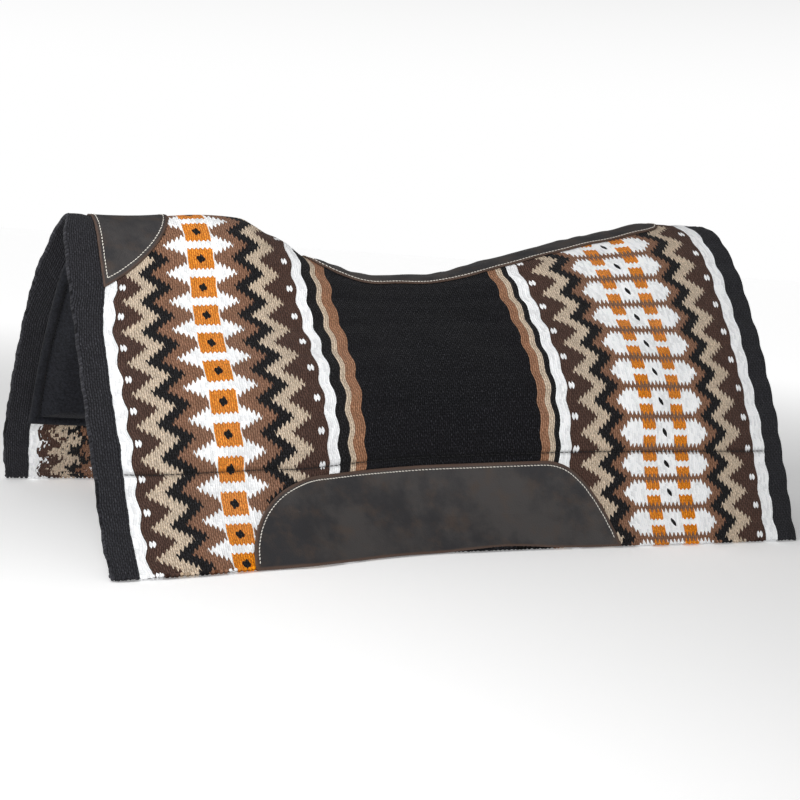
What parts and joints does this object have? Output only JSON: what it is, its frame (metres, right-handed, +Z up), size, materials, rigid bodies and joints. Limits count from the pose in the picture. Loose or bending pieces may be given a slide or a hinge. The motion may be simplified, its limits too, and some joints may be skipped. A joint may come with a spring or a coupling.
{
  "type": "saddle pad",
  "caption": "Contoured Western saddle pad: patterned woven wool over felt, folded over the spine and darted, with leather at the withers, spine and flaps.",
  "frame": {"origin": "on the floor plane under both hems, midway between the outermost front and rear points and between the two sides", "axes": "+X to the rear of the pad (the horse's tail), +Y to the horse's right side, +Z up from the hems to the spine"},
  "size_m": [0.9313, 0.5856, 0.3919],
  "materials": {
    "woven_wool": "thick hand-woven wool, serrated bands in black, brown, beige, white and orange",
    "core_felt": "dense pressed felt",
    "lining_felt": "charcoal wool felt, slightly fuzzy",
    "leather": "oiled dark brown leather with scuffs and a raw cut edge",
    "white_thread": "waxed thread",
    "dark_thread": "waxed thread"
  },
  "bodies": {
    "left_side": {"felt_core_left": "core_felt", "felt_lining_left": "lining_felt", "lining_edge_stitching_left": "dark_thread", "lining_seam_stitching_left": "dark_thread", "spine_leather": "leather", "spine_leather_stitching": "white_thread", "wear_leather_left": "leather", "wear_leather_stitching_left": "white_thread", "wither_leather": "leather", "wither_leather_stitching": "white_thread", "woven_top_left": "woven_wool"},
    "right_side": {"felt_core_right": "core_felt", "felt_lining_right": "lining_felt", "lining_edge_stitching_right": "dark_thread", "lining_seam_stitching_right": "dark_thread", "wear_leather_right": "leather", "wear_leather_stitching_right": "white_thread", "woven_top_right": "woven_wool"}
  },
  "joints": [
    {"name": "spine_fold", "type": "hinge", "parent": "left_side", "child": "right_side", "pos_m": [0, 0, 0.332], "axis": [1, 0, 0], "range_deg": [-25, 25], "deforming": ["wither_leather", "wither_leather_stitching", "spine_leather", "spine_leather_stitching"]}
  ]
}
